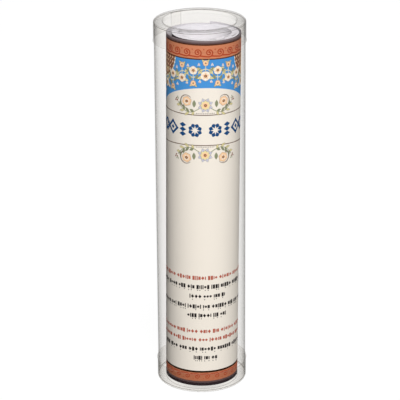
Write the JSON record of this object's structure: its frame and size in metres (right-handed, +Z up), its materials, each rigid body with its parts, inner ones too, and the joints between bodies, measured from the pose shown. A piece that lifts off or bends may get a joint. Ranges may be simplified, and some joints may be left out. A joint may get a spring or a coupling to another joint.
{
  "type": "megillah case",
  "caption": "Clear upright tube case with two push-on caps, holding a rolled printed paper scroll that slides out through the mouth.",
  "frame": {"origin": "centre of the case's foot, on the surface that it stands on", "axes": "+Z up along the tube, +X to the right of the printed front, the front faces -Y"},
  "size_m": [0.0614, 0.0614, 0.254],
  "materials": {
    "clear_tube": "clear rolled sheet, glossy, faintly grey at its edges",
    "clear_cap": "clear thermoformed sheet, glossy",
    "printed_paper": "matt cream paper with printed coloured bands",
    "plain_paper": "matt white paper back"
  },
  "bodies": {
    "case_tube": {"tube": "clear_tube"},
    "scroll": {"scroll_outer_sheet": "printed_paper", "scroll_middle_sheet": "plain_paper", "scroll_inner_sheet": "plain_paper"},
    "upper_cap": {"top_cap": "clear_cap"},
    "lower_cap": {"bottom_cap": "clear_cap"}
  },
  "joints": [
    {"name": "scroll_lift", "type": "slide", "parent": "case_tube", "child": "scroll", "axis": [0, 0, 1], "range_m": [0, 0.256]},
    {"name": "top_cap_pull", "type": "slide", "parent": "scroll", "child": "upper_cap", "axis": [0, 0, 1], "range_m": [0, 0.03]},
    {"name": "bottom_cap_pull", "type": "slide", "parent": "case_tube", "child": "lower_cap", "axis": [0, 0, -1], "range_m": [0, 0.03]}
  ]
}
